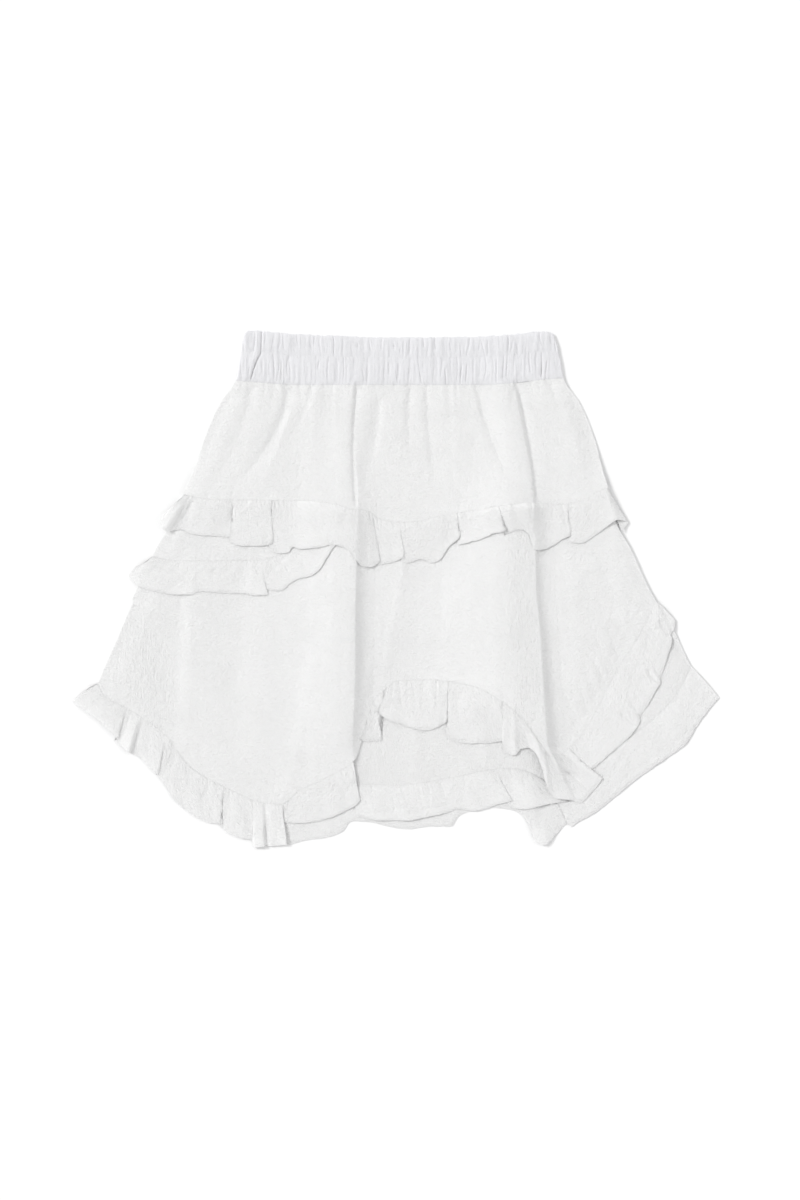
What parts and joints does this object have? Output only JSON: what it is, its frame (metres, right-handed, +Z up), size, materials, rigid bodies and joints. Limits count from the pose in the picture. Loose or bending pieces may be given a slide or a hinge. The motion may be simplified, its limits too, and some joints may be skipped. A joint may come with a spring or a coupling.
{
  "type": "tiered ruffle skirt",
  "caption": "Girl's skirt laid flat: gathered elastic waistband, yoke, and an asymmetric spiral tier over an underskirt, each with a ruffle.",
  "frame": {"origin": "middle of the laid skirt's bounding box, on the surface that it lies on", "axes": "+X across the skirt to the right as seen from above, +Y from the hem to the waistband, +Z up from the surface, out of the skirt's front"},
  "size_m": [0.478, 0.3806, 0.0217],
  "materials": {
    "cloth": "white crinkled cotton, matt",
    "casing": "white cotton gathered over elastic, matt"
  },
  "bodies": {
    "root": {"yoke_back": "cloth", "top_ruffle_back": "cloth", "over_back": "cloth", "over_ruffle_back": "cloth", "under_back": "cloth", "under_ruffle_back": "cloth", "under_front": "cloth", "under_ruffle": "cloth", "over_front": "cloth", "over_ruffle_left": "cloth", "over_ruffle_right": "cloth", "short_tier": "cloth", "short_ruffle": "cloth", "yoke_front": "cloth", "top_ruffle": "cloth", "waistband_back": "casing", "waistband_front": "casing"}
  },
  "joints": []
}
